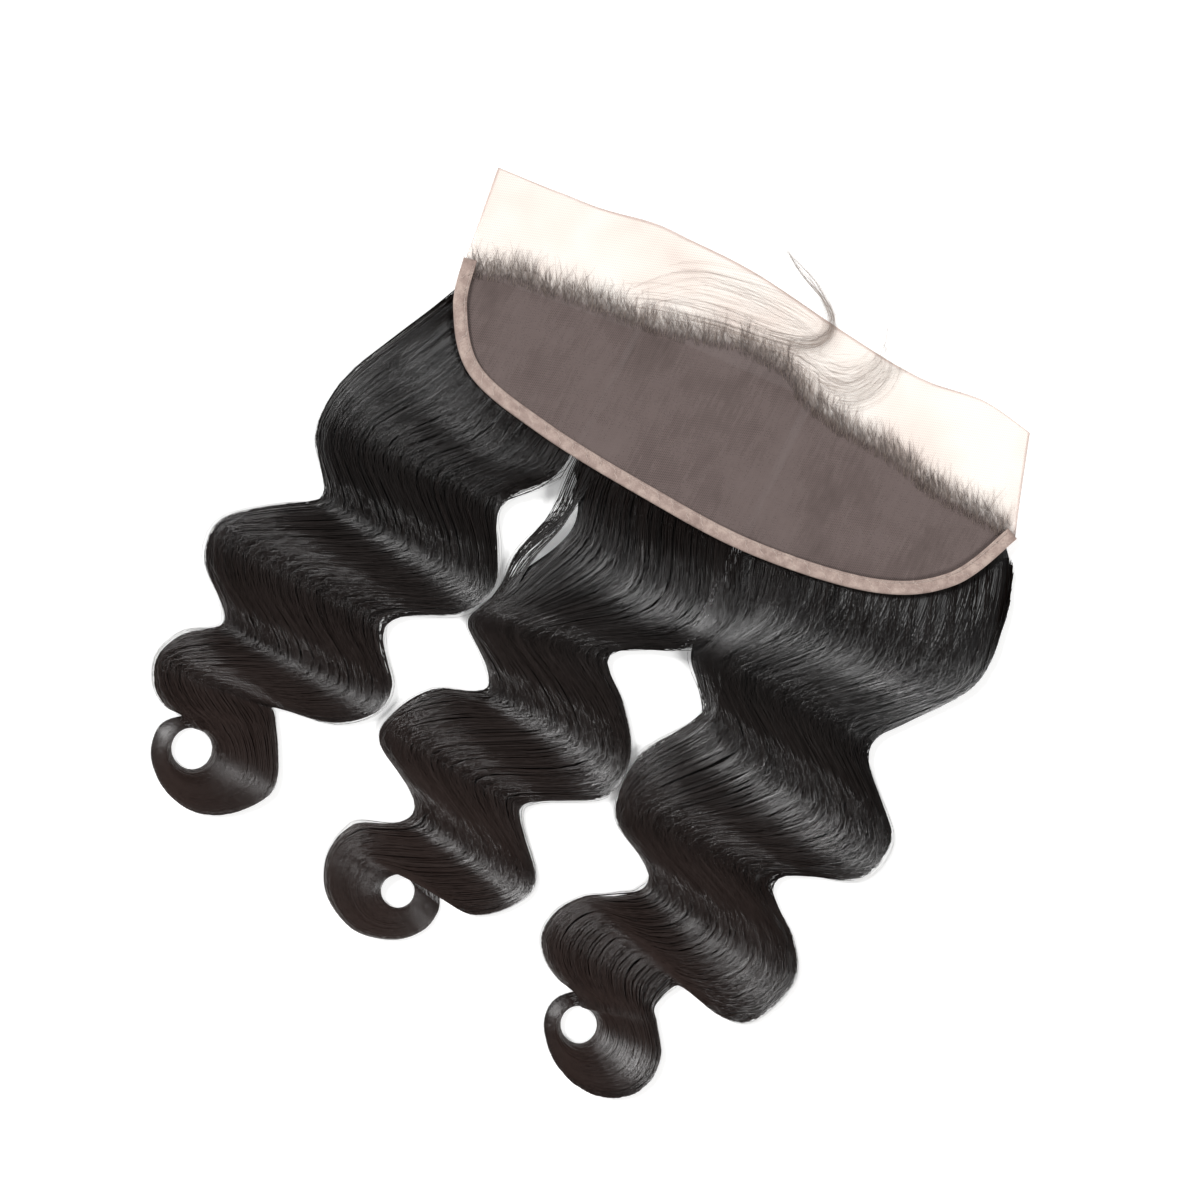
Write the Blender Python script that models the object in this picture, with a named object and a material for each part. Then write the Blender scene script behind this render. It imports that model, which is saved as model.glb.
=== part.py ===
"""Lace frontal hairpiece lying flat, inside of the lace up: a net base, a folded tape on its rear edge and three wavy locks.

Metres, +Z up, +Y toward the front edge of the lace, hair along -Y, +X from ear to ear.
Plan shares are taken of the lace width: across from the middle of the lace, back from the line between its two ear ends.
"""

import math

import bmesh
import bpy
from mathutils import Vector

# Driving sizes
LACE_WIDTH = 0.330
LACE_WALL = 0.0011
GAP = 0.0003
TAPE_WALL = 0.0010
TAPE_WIDTH = 0.0076
LOCK_HEIGHT = 0.016

# Rise of the lace over the wedge of hair beneath it
LIFT_LEAD = 0.025
LIFT_BLEND = 0.020
LIFT_SLOPE = 0.150

# Clearance from the lace down to the hair: one tape wall with a gap on each side of it
ROOT_CLEAR = TAPE_WALL + 2.0 * GAP
ROOT_MIN = 0.0012

# Cross section of a lock
TRESSES = 7
TRESS_GROOVE = 0.10
SIDE_SHARE = 0.30
HEEL_SHARE = 0.02
DOME_POWER = 2.6
STEPS_PER_ROW = 3

# Where locks lie against each other near the roots, their sides stay high for this many rows
JOIN_SHARE = 0.92
LEFT_JOIN = (0, 3)
MIDDLE_JOIN = (3, 5)
RIGHT_JOIN = (5, 0)

# Grid of the lace
LACE_STATIONS = 36
LACE_STEPS = 12

# Columns: across, back (shares of the lace width)
FRONT_EDGE = (
    (-0.528, -0.161),
    (-0.361, -0.174),
    (-0.263, -0.192),
    (-0.197, -0.195),
    (-0.066, -0.194),
    (0.112, -0.171),
    (0.250, -0.159),
    (0.364, -0.172),
    (0.457, -0.159),
)
REAR_EDGE = (
    (-0.508, -0.002),
    (-0.486, 0.080),
    (-0.414, 0.166),
    (-0.271, 0.202),
    (-0.084, 0.220),
    (0.125, 0.226),
    (0.336, 0.192),
    (0.452, 0.122),
    (0.511, 0.008),
)
HAIRLINE = (
    (-0.500, 0.000),
    (-0.417, -0.022),
    (-0.279, -0.040),
    (-0.117, -0.050),
    (0.032, -0.070),
    (0.158, -0.045),
    (0.284, -0.030),
    (0.432, -0.018),
    (0.492, -0.010),
)

# Shallow folds across the front margin. Columns: across, half width, height (shares of the lace width)
MARGIN_FOLDS = (
    (-0.400, 0.050, 0.0060),
    (-0.230, 0.060, 0.0045),
    (0.240, 0.055, 0.0050),
    (0.370, 0.045, 0.0040),
)

# Sections of each lock from the hairline to the neck of its curl
# Columns: left across, left back, right across, right back (shares of the lace width), height (share of the lock height)
LEFT_ROWS = (
    (-0.490, 0.013, -0.201, -0.020, 0.10),
    (-0.502, 0.056, -0.201, 0.075, 0.56),
    (-0.550, 0.154, -0.203, 0.174, 0.94),
    (-0.596, 0.251, -0.209, 0.255, 0.94),
    (-0.608, 0.319, -0.262, 0.316, 0.88),
    (-0.598, 0.378, -0.273, 0.354, 0.81),
    (-0.555, 0.431, -0.250, 0.398, 0.81),
    (-0.545, 0.464, -0.223, 0.466, 0.88),
    (-0.603, 0.501, -0.257, 0.530, 0.88),
    (-0.678, 0.566, -0.357, 0.583, 0.75),
    (-0.672, 0.637, -0.346, 0.634, 0.69),
    (-0.615, 0.688, -0.303, 0.685, 0.75),
    (-0.597, 0.723, -0.307, 0.738, 0.81),
    (-0.648, 0.759, -0.364, 0.786, 0.75),
    (-0.672, 0.812, -0.461, 0.803, 0.62),
    (-0.655, 0.860, -0.458, 0.811, 0.62),
    (-0.622, 0.883, -0.452, 0.821, 0.62),
    (-0.590, 0.883, -0.444, 0.834, 0.62),
)
MIDDLE_ROWS = (
    (-0.198, -0.033, 0.104, -0.046, 0.10),
    (-0.198, 0.075, 0.104, 0.066, 0.56),
    (-0.198, 0.174, 0.104, 0.166, 0.94),
    (-0.198, 0.252, 0.104, 0.249, 1.00),
    (-0.194, 0.317, 0.104, 0.340, 0.94),
    (-0.217, 0.400, 0.094, 0.414, 0.88),
    (-0.214, 0.470, 0.020, 0.458, 0.81),
    (-0.239, 0.533, -0.006, 0.492, 0.75),
    (-0.194, 0.574, 0.053, 0.543, 0.75),
    (-0.155, 0.625, 0.102, 0.616, 0.81),
    (-0.236, 0.658, 0.094, 0.694, 0.81),
    (-0.281, 0.725, -0.004, 0.752, 0.69),
    (-0.278, 0.781, -0.015, 0.787, 0.62),
    (-0.182, 0.835, 0.052, 0.866, 0.69),
    (-0.188, 0.882, 0.036, 0.923, 0.75),
    (-0.249, 0.910, -0.016, 0.966, 0.69),
    (-0.265, 0.931, -0.078, 0.964, 0.62),
)
RIGHT_ROWS = (
    (0.108, -0.040, 0.495, 0.012, 0.10),
    (0.108, 0.075, 0.537, 0.064, 0.56),
    (0.108, 0.166, 0.561, 0.160, 0.94),
    (0.108, 0.249, 0.559, 0.260, 1.00),
    (0.108, 0.340, 0.483, 0.366, 0.94),
    (0.111, 0.421, 0.443, 0.424, 0.88),
    (0.167, 0.478, 0.487, 0.477, 0.88),
    (0.173, 0.515, 0.552, 0.547, 0.88),
    (0.118, 0.598, 0.532, 0.630, 0.88),
    (0.110, 0.667, 0.433, 0.667, 0.75),
    (0.133, 0.725, 0.401, 0.708, 0.69),
    (0.216, 0.769, 0.474, 0.763, 0.75),
    (0.211, 0.807, 0.510, 0.829, 0.81),
    (0.190, 0.823, 0.478, 0.917, 0.78),
    (0.165, 0.840, 0.422, 0.934, 0.75),
    (0.137, 0.857, 0.349, 0.916, 0.72),
    (0.108, 0.896, 0.338, 0.927, 0.69),
    (0.102, 0.942, 0.329, 0.943, 0.69),
    (0.124, 0.978, 0.324, 0.957, 0.69),
    (0.160, 0.999, 0.322, 0.968, 0.69),
    (0.197, 1.006, 0.325, 0.977, 0.69),
)

# Ring curl of each lock: middle of the hole (across, back) and its radius, shares of the lace width
LEFT_HOLE = (-0.554, 0.927, 0.035)
MIDDLE_HOLE = (-0.1435, 0.987, 0.028)
RIGHT_HOLE = (0.223, 1.051, 0.031)

# Sections round the hole
# Columns: angle on the rim, angle on the outside (degrees), outer reach (share of the lace width), height share
LEFT_CURL = (
    (-112, -35, 0.143, 0.60),
    (-88, -26, 0.143, 0.58),
    (-60, -10, 0.150, 0.56),
    (-30, 3, 0.152, 0.56),
    (5, 20, 0.136, 0.56),
    (38, 40, 0.120, 0.53),
    (70, 62, 0.104, 0.50),
    (104, 86, 0.087, 0.44),
    (138, 114, 0.074, 0.38),
    (172, 150, 0.068, 0.31),
    (206, 190, 0.066, 0.25),
    (238, 227, 0.057, 0.19),
)
MIDDLE_CURL = (
    (-90, -168, 0.133, 0.60),
    (-125, -184, 0.129, 0.56),
    (-165, -204, 0.120, 0.56),
    (-205, -224, 0.108, 0.50),
    (-245, -248, 0.097, 0.44),
    (-285, -275, 0.084, 0.38),
    (-320, -303, 0.079, 0.31),
    (-355, -332, 0.077, 0.31),
    (-388, -355, 0.075, 0.25),
    (-412, -372, 0.072, 0.19),
)
RIGHT_CURL = (
    (-112, -31, 0.128, 0.66),
    (-90, -26, 0.130, 0.62),
    (-64, -14, 0.139, 0.62),
    (-36, -5, 0.147, 0.60),
    (-4, 10, 0.152, 0.56),
    (28, 27, 0.146, 0.56),
    (58, 46, 0.126, 0.53),
    (88, 68, 0.099, 0.50),
    (118, 96, 0.074, 0.44),
    (148, 128, 0.060, 0.38),
    (178, 162, 0.058, 0.31),
    (208, 196, 0.058, 0.25),
    (238, 231, 0.055, 0.19),
)


def spline(p0, p1, p2, p3, t):
    """Point on the Catmull-Rom curve between p1 and p2."""
    out = []
    for a, b, c, d in zip(p0, p1, p2, p3):
        linear = (c - a) * t
        square = (2.0 * a - 5.0 * b + 4.0 * c - d) * t * t
        cube = (3.0 * b - a - 3.0 * c + d) * t * t * t
        out.append(0.5 * (2.0 * b + linear + square + cube))
    return out


def smooth_rows(rows, steps):
    """Rows with steps spans laid along a smooth curve between each pair."""
    last = len(rows) - 1
    out = []
    for i in range(last):
        before = rows[max(i - 1, 0)]
        after = rows[min(i + 2, last)]
        for k in range(steps):
            out.append(spline(before, rows[i], rows[i + 1], after, k / steps))
    out.append(list(rows[last]))
    return out


def even_points(rows, count):
    """Count points spread evenly along the smooth curve through the rows, in metres."""
    dense = [Vector(row) * LACE_WIDTH for row in smooth_rows(rows, 24)]
    travel = [0.0]
    for a, b in zip(dense, dense[1:]):
        travel.append(travel[-1] + (b - a).length)
    out = []
    k = 0
    for i in range(count):
        target = travel[-1] * i / (count - 1)
        while k < len(dense) - 2 and travel[k + 1] < target:
            k += 1
        share = (target - travel[k]) / (travel[k + 1] - travel[k])
        out.append(dense[k].lerp(dense[k + 1], share))
    return out


def hairline_back(x):
    """How far back the hairline lies at x, in metres."""
    rows = smooth_rows(HAIRLINE, 4)
    share = x / LACE_WIDTH
    if share <= rows[0][0]:
        return rows[0][1] * LACE_WIDTH
    for a, b in zip(rows, rows[1:]):
        if share <= b[0]:
            part = (share - a[0]) / (b[0] - a[0])
            return (a[1] + (b[1] - a[1]) * part) * LACE_WIDTH
    return rows[-1][1] * LACE_WIDTH


def lace_under(x, back):
    """Height of the underside of the lace, or of its surface carried on past the edge."""
    run = back - hairline_back(x) + LIFT_LEAD
    if run <= 0.0:
        return 0.0
    if run < LIFT_BLEND:
        return LIFT_SLOPE * run * run / (2.0 * LIFT_BLEND)
    return LIFT_SLOPE * (run - LIFT_BLEND / 2.0)


def fold_rise(x, down):
    """Height of the shallow folds in the margin. Down is 0 at the front edge and 1 at the rear edge."""
    window = max(0.0, 1.0 - down / 0.28)
    rise = 0.0
    for across, half, height in MARGIN_FOLDS:
        offset = abs(x / LACE_WIDTH - across) / half
        if offset < 1.0:
            rise += height * LACE_WIDTH * 0.5 * (1.0 + math.cos(math.pi * offset))
    return rise * window * window * (3.0 - 2.0 * window)


def material(name, color, roughness):
    mat = bpy.data.materials.new(name)
    mat.use_nodes = True
    shader = mat.node_tree.nodes["Principled BSDF"]
    shader.inputs["Base Color"].default_value = (*color, 1.0)
    shader.inputs["Roughness"].default_value = roughness
    shader.inputs["Metallic"].default_value = 0.0
    return mat


def loft(name, rings, mat):
    """Closed solid through the rings: the first one's face is extruded from ring to ring."""
    bm = bmesh.new()
    face = bm.faces.new([bm.verts.new(p) for p in rings[0]])
    for i, ring in enumerate(rings[1:]):
        grown = bmesh.ops.extrude_face_region(bm, geom=[face])
        if i > 0:
            bmesh.ops.delete(bm, geom=[face], context="FACES_ONLY")
        face = [g for g in grown["geom"] if isinstance(g, bmesh.types.BMFace)][0]
        for loop, point in zip(face.loops, ring):
            loop.vert.co = point
    bmesh.ops.recalc_face_normals(bm, faces=bm.faces[:])
    mesh = bpy.data.meshes.new(name)
    bm.to_mesh(mesh)
    bm.free()
    mesh.shade_smooth()
    mesh.materials.append(mat)
    obj = bpy.data.objects.new(name, mesh)
    bpy.context.scene.collection.objects.link(obj)
    return obj


# Lace base
def lace_sheet(mat):
    front = even_points(FRONT_EDGE, LACE_STATIONS)
    rear = even_points(REAR_EDGE, LACE_STATIONS)
    rings = []
    for a, b in zip(front, rear):
        under = []
        for k in range(LACE_STEPS):
            down = k / (LACE_STEPS - 1)
            p = a.lerp(b, down)
            z = lace_under(p.x, p.y) + fold_rise(p.x, down)
            under.append(Vector((p.x, -p.y, z)))
        over = [p + Vector((0.0, 0.0, LACE_WALL)) for p in reversed(under)]
        rings.append(under + over)
    return loft("lace_sheet", rings, mat)


# Folded tape on the rear edge
def edge_binding(mat):
    rear = even_points(REAR_EDGE, LACE_STATIONS)
    front = even_points(FRONT_EDGE, LACE_STATIONS)
    last = LACE_STATIONS - 1
    inner = TAPE_WIDTH - GAP - TAPE_WALL
    # Columns: offset in from the lace edge, height from the underside of the lace
    section = (
        (inner, LACE_WALL + GAP),
        (inner, LACE_WALL + GAP + TAPE_WALL),
        (-GAP - TAPE_WALL, LACE_WALL + GAP + TAPE_WALL),
        (-GAP - TAPE_WALL, -GAP - TAPE_WALL),
        (inner, -GAP - TAPE_WALL),
        (inner, -GAP),
        (-GAP, -GAP),
        (-GAP, LACE_WALL + GAP),
    )
    rings = []
    for i, edge in enumerate(rear):
        along = (rear[min(i + 1, last)] - rear[max(i - 1, 0)]).normalized()
        inward = Vector((along.y, -along.x))
        if inward.dot(front[i] - edge) < 0.0:
            inward = -inward
        ring = []
        for offset, height in section:
            p = edge + inward * offset
            ring.append(Vector((p.x, -p.y, lace_under(p.x, p.y) + height)))
        rings.append(ring)
    return loft("edge_binding", rings, mat)


# Locks of hair
def curl_rows(hole, table, rim_is_left):
    """Rows that carry a lock round the hole of its curl."""
    cx, cy, radius = hole
    rows = []
    for rim, outside, reach, height in table:
        near = (cx + radius * math.cos(math.radians(rim)), cy + radius * math.sin(math.radians(rim)))
        far = (cx + reach * math.cos(math.radians(outside)), cy + reach * math.sin(math.radians(outside)))
        if rim_is_left:
            rows.append((*near, *far, height))
        else:
            rows.append((*far, *near, height))
    return rows


def lock(name, rows, join, hole, curl, rim_is_left, mat):
    """One lock: its underside lies flat and its top is a dome grooved into tresses, kept under the lace and tape."""
    stations = smooth_rows(tuple(rows) + tuple(curl_rows(hole, curl, rim_is_left)), STEPS_PER_ROW)
    points = 2 * TRESSES + 1
    rings = []
    for i, (left_x, left_back, right_x, right_back, height) in enumerate(stations):
        row = i / STEPS_PER_ROW
        joined = [JOIN_SHARE * min(1.0, max(0.0, 1.0 + end - row)) if end else 0.0 for end in join]
        left = Vector((left_x, left_back)) * LACE_WIDTH
        right = Vector((right_x, right_back)) * LACE_WIDTH
        top = max(height * LOCK_HEIGHT, ROOT_MIN)
        ring = []
        for k in range(points):
            across = k / (points - 1)
            p = left.lerp(right, across)
            dome = max(0.0, 1.0 - abs(2.0 * across - 1.0) ** DOME_POWER) ** (1.0 / DOME_POWER)
            dome = max(dome, joined[0] if across < 0.5 else joined[1])
            groove = 1.0 - TRESS_GROOVE * (1 - k % 2)
            z = top * max(SIDE_SHARE, dome * groove)
            room = max(ROOT_MIN, lace_under(p.x, p.y) - ROOT_CLEAR)
            ring.append(Vector((p.x, -p.y, min(z, room))))
        heel = left.lerp(right, 1.0 - HEEL_SHARE)
        toe = left.lerp(right, HEEL_SHARE)
        ring.append(Vector((heel.x, -heel.y, 0.0)))
        ring.append(Vector((toe.x, -toe.y, 0.0)))
        rings.append(ring)
    return loft(name, rings, mat)


for old in list(bpy.data.objects):
    bpy.data.objects.remove(old)

lace_net = material("lace_net", (0.16, 0.12, 0.11), 0.8)
tape_cotton = material("tape_cotton", (0.58, 0.44, 0.38), 0.85)
hair_left_dark = material("hair_left_dark", (0.013, 0.011, 0.010), 0.4)
hair_middle_dark = material("hair_middle_dark", (0.013, 0.011, 0.010), 0.4)
hair_right_dark = material("hair_right_dark", (0.013, 0.011, 0.010), 0.4)

pieces = [
    lace_sheet(lace_net),
    edge_binding(tape_cotton),
    lock("hair_left", LEFT_ROWS, LEFT_JOIN, LEFT_HOLE, LEFT_CURL, True, hair_left_dark),
    lock("hair_middle", MIDDLE_ROWS, MIDDLE_JOIN, MIDDLE_HOLE, MIDDLE_CURL, False, hair_middle_dark),
    lock("hair_right", RIGHT_ROWS, RIGHT_JOIN, RIGHT_HOLE, RIGHT_CURL, True, hair_right_dark),
]

# The origin is the middle of the bounding box's underside
corners = [v.co for piece in pieces for v in piece.data.vertices]
middle_x = (min(c.x for c in corners) + max(c.x for c in corners)) / 2.0
middle_y = (min(c.y for c in corners) + max(c.y for c in corners)) / 2.0
lowest = min(c.z for c in corners)
for piece in pieces:
    piece.location = (-middle_x, -middle_y, -lowest)
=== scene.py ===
"""Looks for the lace frontal hairpiece: net, tape, three wavy locks, fine hairs, floor, light and camera.

Metres. Plan shares are taken of the lace width: across from the middle of the lace, and back from the line
between its ear ends.
"""

import math

import bmesh
import bpy
import numpy as np
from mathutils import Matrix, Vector, noise


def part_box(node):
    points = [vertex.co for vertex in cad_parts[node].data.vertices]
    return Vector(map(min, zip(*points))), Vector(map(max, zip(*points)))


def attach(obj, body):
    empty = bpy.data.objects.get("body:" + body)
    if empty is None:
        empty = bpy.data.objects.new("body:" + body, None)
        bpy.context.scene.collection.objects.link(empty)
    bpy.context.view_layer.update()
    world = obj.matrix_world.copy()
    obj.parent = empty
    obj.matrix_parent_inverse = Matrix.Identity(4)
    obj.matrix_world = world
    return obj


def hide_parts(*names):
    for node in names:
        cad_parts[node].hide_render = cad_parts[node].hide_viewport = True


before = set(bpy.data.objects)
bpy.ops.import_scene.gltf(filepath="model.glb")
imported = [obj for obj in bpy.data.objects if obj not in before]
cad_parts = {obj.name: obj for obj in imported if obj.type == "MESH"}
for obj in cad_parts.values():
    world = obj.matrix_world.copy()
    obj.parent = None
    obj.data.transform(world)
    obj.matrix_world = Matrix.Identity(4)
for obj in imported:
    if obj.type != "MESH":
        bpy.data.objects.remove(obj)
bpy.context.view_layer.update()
scene = bpy.context.scene


# Lace base
# A fine hand-tied net of clear-beige monofilament, warp knitted in small diamond cells. Its front margin is
# bare. The rest bears hairs knotted one by one, which show as dark specks and tone the net a dusty brown.
LACE_WIDTH = 0.330
LACE_WALL = 0.0011
# How the lace rises over the hair roots: start ahead of the hairline, run of the bend, slope after it
LIFT_LEAD = 0.025
LIFT_BLEND = 0.020
LIFT_SLOPE = 0.150

# Columns: across, back (shares of the lace width)
FRONT_EDGE = (
    (-0.528, -0.161),
    (-0.361, -0.174),
    (-0.263, -0.192),
    (-0.197, -0.195),
    (-0.066, -0.194),
    (0.112, -0.171),
    (0.250, -0.159),
    (0.364, -0.172),
    (0.457, -0.159),
)
REAR_EDGE = (
    (-0.508, -0.002),
    (-0.486, 0.080),
    (-0.414, 0.166),
    (-0.271, 0.202),
    (-0.084, 0.220),
    (0.125, 0.226),
    (0.336, 0.192),
    (0.452, 0.122),
    (0.511, 0.008),
)
HAIRLINE = (
    (-0.500, 0.000),
    (-0.417, -0.022),
    (-0.279, -0.040),
    (-0.117, -0.050),
    (0.032, -0.070),
    (0.158, -0.045),
    (0.284, -0.030),
    (0.432, -0.018),
    (0.492, -0.010),
)
# Front of the knotted zone as the eye sees it. Columns: across, back (shares of the lace width)
KNOT_FRONT = (
    (-0.540, 0.010),
    (-0.480, 0.004),
    (-0.417, -0.016),
    (-0.370, -0.020),
    (-0.279, -0.032),
    (-0.200, -0.040),
    (-0.117, -0.056),
    (-0.040, -0.078),
    (0.032, -0.078),
    (0.065, -0.070),
    (0.095, -0.050),
    (0.158, -0.033),
    (0.200, -0.029),
    (0.284, -0.023),
    (0.350, -0.005),
    (0.432, -0.003),
    (0.520, 0.006),
)
# Columns: across, half width, height (shares of the lace width)
MARGIN_FOLDS = (
    (-0.400, 0.050, 0.0060),
    (-0.230, 0.060, 0.0045),
    (0.240, 0.055, 0.0050),
    (0.370, 0.045, 0.0040),
)
# Share of the lace's depth, from its front edge, that the folds reach
FOLD_REACH = 0.28


def smooth_rows(rows, steps):
    """Rows with steps spans laid along a smooth curve between each pair."""
    rows = np.array(rows, float)
    last = len(rows) - 1
    t = (np.arange(steps) / steps)[:, None]
    out = []
    for i in range(last):
        a = rows[max(i - 1, 0)]
        b = rows[i]
        c = rows[i + 1]
        d = rows[min(i + 2, last)]
        linear = (c - a) * t
        square = (2.0 * a - 5.0 * b + 4.0 * c - d) * t * t
        cube = (3.0 * b - a - 3.0 * c + d) * t * t * t
        out.append(0.5 * (2.0 * b + linear + square + cube))
    out.append(rows[last:])
    return np.concatenate(out)


def even_points(rows, count):
    """Count points spread evenly along the smooth curve through the rows, in metres."""
    dense = smooth_rows(rows, 24) * LACE_WIDTH
    travel = np.concatenate([[0.0], np.cumsum(np.linalg.norm(np.diff(dense, axis=0), axis=1))])
    at = np.linspace(0.0, travel[-1], count)
    return np.stack([np.interp(at, travel, dense[:, k]) for k in range(2)], axis=1)


def back_at(rows, x):
    """How far back the curve through the rows lies at x, in metres."""
    dense = smooth_rows(rows, 4)
    return np.interp(np.asarray(x) / LACE_WIDTH, dense[:, 0], dense[:, 1]) * LACE_WIDTH


def lace_under(x, back):
    """Height of the underside of the lace, or of its surface carried on past the edge."""
    run = np.maximum(0.0, np.asarray(back) - back_at(HAIRLINE, x) + LIFT_LEAD)
    near = LIFT_SLOPE * run * run / (2.0 * LIFT_BLEND)
    return np.where(run < LIFT_BLEND, near, LIFT_SLOPE * (run - LIFT_BLEND / 2.0))


def fold_rise(x, down):
    """Height of the shallow folds in the margin. Down is 0 at the front edge and 1 at the rear edge."""
    window = np.maximum(0.0, 1.0 - down / FOLD_REACH)
    rise = 0.0
    for across, half, height in MARGIN_FOLDS:
        offset = np.minimum(1.0, np.abs(x / LACE_WIDTH - across) / half)
        rise = rise + height * LACE_WIDTH * 0.5 * (1.0 + np.cos(math.pi * offset))
    return rise * window * window * (3.0 - 2.0 * window)


# The row frame's origin, from where the solid of the lace lies
CAD_STATIONS = 36
SHIFT_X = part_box("lace_sheet")[0].x - FRONT_EDGE[0][0] * LACE_WIDTH
SHIFT_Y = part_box("lace_sheet")[0].y + even_points(REAR_EDGE, CAD_STATIONS)[:, 1].max()


def placed(x, back, z):
    """Row-frame points from places across and back."""
    x = np.asarray(x)
    return np.stack([x + SHIFT_X, SHIFT_Y - np.asarray(back), np.asarray(z) + 0.0 * x], axis=-1)


def new_piece(name, bm):
    """A piece of the scene made from a bmesh."""
    mesh = bpy.data.meshes.new(name)
    bm.to_mesh(mesh)
    bm.free()
    obj = bpy.data.objects.new(name, mesh)
    scene.collection.objects.link(obj)
    return obj


def finish_piece(obj, slot_name, *nodes):
    """The piece is smooth shaded and rides on the one body, and the CAD nodes it stands for are hidden. The
    slot name is not used.
    """
    for poly in obj.data.polygons:
        poly.use_smooth = True
    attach(obj, "root")
    if nodes:
        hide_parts(*nodes)


def rgba(hex_color):
    """Linear colour of an sRGB hex value."""
    out = []
    for k in (0, 2, 4):
        c = int(hex_color[k : k + 2], 16) / 255.0
        out.append(c / 12.92 if c <= 0.04045 else ((c + 0.055) / 1.055) ** 2.4)
    return (*out, 1.0)


def new_material(name, **settings):
    """A node material with its tree and its Principled shader, which takes the settings."""
    mat = bpy.data.materials.new(name)
    mat.use_nodes = True
    shader = mat.node_tree.nodes["Principled BSDF"]
    for socket, value in settings.items():
        shader.inputs[socket.replace("_", " ")].default_value = value
    return mat, mat.node_tree, shader


def node(tree, kind, feeds=(), stops=(), **settings):
    """A new node. Settings name its properties or sockets, and stops are the places and colours of a ramp.

    Feeds pair a socket with what fills it: another node by its first output, an output, or a value.
    """
    made = tree.nodes.new(kind)
    for name, value in settings.items():
        if hasattr(made, name):
            setattr(made, name, value)
        else:
            made.inputs[name.replace("_", " ")].default_value = value
    for socket, source in feeds:
        if isinstance(source, bpy.types.Node):
            source = source.outputs[0]
        if isinstance(source, bpy.types.NodeSocket):
            tree.links.new(source, made.inputs[socket])
        else:
            made.inputs[socket].default_value = source
    for i, (position, color) in enumerate(stops):
        elements = made.color_ramp.elements
        element = elements[i] if i < len(elements) else elements.new(position)
        element.position = position
        element.color = rgba(color)
    return made


NET_ALONG = 176
NET_DOWN = 68
NET_THICK = 0.0004
# How deep the net crinkles, and how often to the metre
CRINKLE = 0.0003
CRINKLES_ACROSS = 40.0
CRINKLES_BACK = 90.0
CRINKLE_SEED = 3.0
# Depth over which the knots thin out towards the front, and the share of it in front of their line
KNOT_FADE = 0.013
KNOT_LEAD = 0.6

front = even_points(FRONT_EDGE, NET_ALONG + 1)
rear = even_points(REAR_EDGE, NET_ALONG + 1)
down = np.linspace(0.0, 1.0, NET_DOWN + 1)[None, :]
net_x = front[:, 0:1] + (rear[:, 0:1] - front[:, 0:1]) * down
net_back = front[:, 1:2] + (rear[:, 1:2] - front[:, 1:2]) * down
net_z = lace_under(net_x, net_back) + fold_rise(net_x, down) + LACE_WALL - NET_THICK
for i, j in np.ndindex(net_z.shape):
    spot = Vector((net_x[i, j] * CRINKLES_ACROSS, net_back[i, j] * CRINKLES_BACK, CRINKLE_SEED))
    net_z[i, j] -= CRINKLE * (0.5 + noise.noise(spot))
zone = np.clip((net_back - back_at(KNOT_FRONT, net_x)) / KNOT_FADE + KNOT_LEAD, 0.0, 1.0)

bm = bmesh.new()
bmesh.ops.create_grid(bm, x_segments=NET_ALONG, y_segments=NET_DOWN, size=1.0)
knotted = bm.verts.layers.float.new("knotted")
rim_layer = bm.verts.layers.float.new("rim")
for v in bm.verts:
    i = round((v.co.x + 1.0) * 0.5 * NET_ALONG)
    j = round((1.0 - v.co.y) * 0.5 * NET_DOWN)
    v[knotted] = zone[i, j]
    v[rim_layer] = 1.0 if j == 0 or i in (0, NET_ALONG) else 0.0
    v.co = placed(net_x[i, j], net_back[i, j], net_z[i, j])
bmesh.ops.recalc_face_normals(bm, faces=bm.faces[:])
if sum(f.normal.z for f in bm.faces) < 0.0:
    bmesh.ops.reverse_faces(bm, faces=bm.faces[:])
lace = new_piece("lace_net", bm)
thick = lace.modifiers.new("thickness", "SOLIDIFY")
thick.thickness = NET_THICK
thick.offset = -1.0

# Swiss lace net: fine beige filament with open cells, so the floor shows through. Knots darken it where hair
# is tied. A real cell is finer: it is drawn 0.9 mm wide so that it shows.
CELL = 0.0009
THREAD_TURN = math.radians(58.0)
# A thread's soft edge, from its middle line (shares of a cell)
THREAD_OUT = 0.14
THREAD_IN = 0.08
# Roots seen through the net lie in tufts and streaks, turned this far and this many to the metre
TUFT_TURN = (0.0, 0.0, -0.46)
TUFTS = (900.0, 90.0, 1.0)
TUFT_SHARE = 0.6
STREAK_TURN = (0.0, 0.0, -0.42)
STREAKS = (520.0, 60.0, 1.0)
STREAK_SHARE = 0.45
CLOUDS = 28.0
KNOTS = 780.0
PATCHES = 22.0
# The fine threads of the net's cut rim gather shade
RIM_SHADE = -0.8
# Sum of knots and tufts at which the knotted zone begins to show, and at which it is full
ZONE_START = 0.48
ZONE_FULL = 1.10
# How much of the ground a cell and a thread cover
BARE_CELL = 0.40
BARE_THREAD = 0.66
FULL_CELL = 0.72
FULL_THREAD = 0.92

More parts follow.
